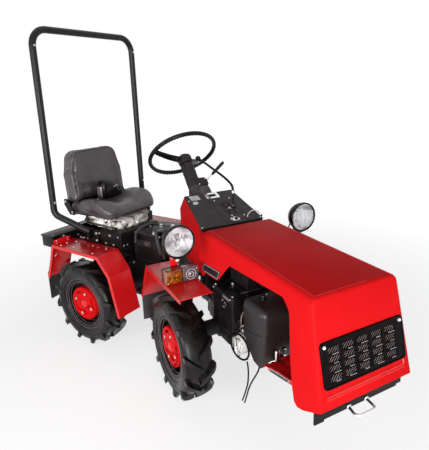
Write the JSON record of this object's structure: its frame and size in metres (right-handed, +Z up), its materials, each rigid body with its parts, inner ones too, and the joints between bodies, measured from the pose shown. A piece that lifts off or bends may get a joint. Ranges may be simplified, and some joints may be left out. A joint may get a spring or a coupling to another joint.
{
  "type": "articulated mini tractor",
  "caption": "Compact articulated tractor with a front-hinged hood, fender lamps, single seat and roll-over hoop, parked with its rear half steered to one side.",
  "frame": {"origin": "on the ground, under the centre of the outline of the tractor as it stands parked", "axes": "+Z up; the front half's travel is along -Y, and +X is the driver's left"},
  "size_m": [1.3544, 2.4924, 2.0169],
  "materials": {
    "red_paint": "gloss red paint over sheet steel",
    "black_paint": "satin black paint",
    "cast_black": "black-painted casting",
    "tyre_rubber": "black tyre rubber",
    "rubber": "black rubber sheet",
    "vinyl": "black seat vinyl",
    "black_plastic": "moulded black plastic",
    "gloss_black": "smooth black plastic",
    "bright_steel": "zinc-plated steel",
    "film": "crumpled translucent protective film",
    "lamp": "lamp lens in front of a bright reflector",
    "amber_lens": "amber and clear lamp lens",
    "red_lens": "red lamp lens",
    "aluminium": "bare aluminium casting",
    "rim_paint": "black rim with a red centre plate"
  },
  "bodies": {
    "front_half": {"front_frame": "black_paint", "front_axle": "cast_black", "engine_block": "cast_black", "muffler_guard": "black_paint", "air_cleaner": "black_plastic", "starter_motor": "aluminium", "engine_tray": "red_paint", "front_plate": "black_paint", "tow_handle": "bright_steel", "cowl": "red_paint", "dash_panel": "black_plastic", "steering_column": "black_plastic", "gear_lever": "black_plastic", "left_front_fender": "red_paint", "right_front_fender": "red_paint", "front_flaps": "rubber", "left_headlight": "lamp", "right_headlight": "lamp", "marker_lamps": "amber_lens", "rear_drain_hose": "rubber", "front_drain_hose": "rubber"},
    "hood": {"hood": "red_paint", "grille": "black_plastic"},
    "steering_wheel": {"steering_wheel": "gloss_black"},
    "pivot_yoke": {"pivot_yoke": "cast_black"},
    "left_front_wheel": {"left_front_tyre": "tyre_rubber", "left_front_rim": "rim_paint"},
    "right_front_wheel": {"right_front_tyre": "tyre_rubber", "right_front_rim": "rim_paint"},
    "left_rear_wheel": {"left_rear_tyre": "tyre_rubber", "left_rear_rim": "rim_paint"},
    "right_rear_wheel": {"right_rear_tyre": "tyre_rubber", "right_rear_rim": "rim_paint"},
    "rear_half": {"rear_frame": "black_paint", "rear_axle": "cast_black", "oil_tank": "black_paint", "seat_base": "black_paint", "seat_wrap": "film", "seat_cushion": "vinyl", "seat_backrest": "vinyl", "seat_brackets": "black_paint", "seat_belt": "black_plastic", "roll_over_hoop": "black_paint", "left_rear_fender": "red_paint", "right_rear_fender": "red_paint", "rear_flaps": "rubber", "rear_box": "black_paint", "tail_lamps": "red_lens", "hitch": "black_paint", "footrests": "black_paint"}
  },
  "joints": [
    {"name": "articulation", "type": "hinge", "parent": "front_half", "child": "pivot_yoke", "pos_m": [0.2168, 0.05533, 0.38], "axis": [0, 0, 1], "range_deg": [-59.8, 4.2]},
    {"name": "rear_roll", "type": "hinge", "parent": "pivot_yoke", "child": "rear_half", "pos_m": [0.15337, 0.17563, 0.38], "axis": [-0.4664, 0.8846, 0], "range_deg": [-10, 10]},
    {"name": "hood_tilt", "type": "hinge", "parent": "front_half", "child": "hood", "pos_m": [0.2168, -1.15167, 0.508], "axis": [1, 0, 0], "range_deg": [0, 62]},
    {"name": "steering", "type": "hinge", "parent": "front_half", "child": "steering_wheel", "pos_m": [0.1868, 0.37571, 1.22365], "axis": [0, 0.6639, 0.7478], "range_deg": [-58.8, 837.2]},
    {"name": "left_front_spin", "type": "hinge", "parent": "front_half", "child": "left_front_wheel", "pos_m": [0.5658, -0.21367, 0.2845], "axis": [1, 0, 0], "continuous": true},
    {"name": "right_front_spin", "type": "hinge", "parent": "front_half", "child": "right_front_wheel", "pos_m": [-0.1322, -0.21367, 0.2845], "axis": [1, 0, 0], "continuous": true},
    {"name": "left_rear_spin", "type": "hinge", "parent": "rear_half", "child": "left_rear_wheel", "pos_m": [0.17059, 0.89126, 0.2845], "axis": [0.8846, 0.4664, 0], "continuous": true},
    {"name": "right_rear_spin", "type": "hinge", "parent": "rear_half", "child": "right_rear_wheel", "pos_m": [-0.44684, 0.56572, 0.2845], "axis": [0.8846, 0.4664, 0], "continuous": true}
  ],
  "couplings": [
    {"joint": "steering", "follows": "articulation", "ratio": -14}
  ]
}
